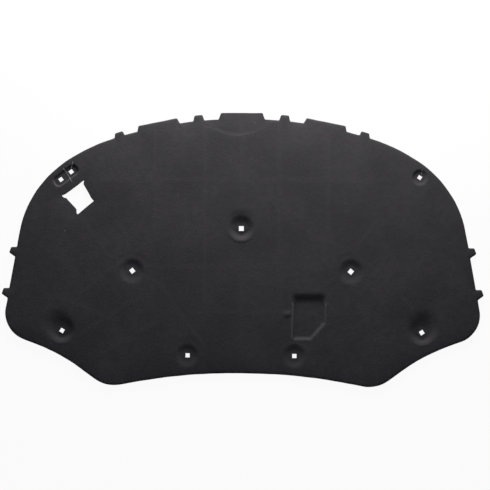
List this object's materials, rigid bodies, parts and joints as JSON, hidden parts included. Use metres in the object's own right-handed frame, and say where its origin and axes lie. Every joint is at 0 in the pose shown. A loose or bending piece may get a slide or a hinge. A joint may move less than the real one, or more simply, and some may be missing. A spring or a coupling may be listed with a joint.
{
  "type": "hood insulation pad",
  "caption": "Flat moulded felt pad for the underside of a car hood, with a bowed front edge, square clip holes in dished seats, a window cut-out and a five-sided pocket.",
  "frame": {"origin": "on the flat back, on the centreline, midway between the front land's edge and the rear lobes' edges to within a millimetre", "axes": "+Y to the car's front, +X to the right as seen from the engine side with the front up, +Z out of the face that looks at the engine"},
  "size_m": [1.3764, 0.7799, 0.01],
  "materials": {
    "felt": "black needled felt, matt and slightly fuzzy, with faint pressed lines"
  },
  "bodies": {
    "root": {"insulation_pad": "felt"}
  },
  "joints": []
}
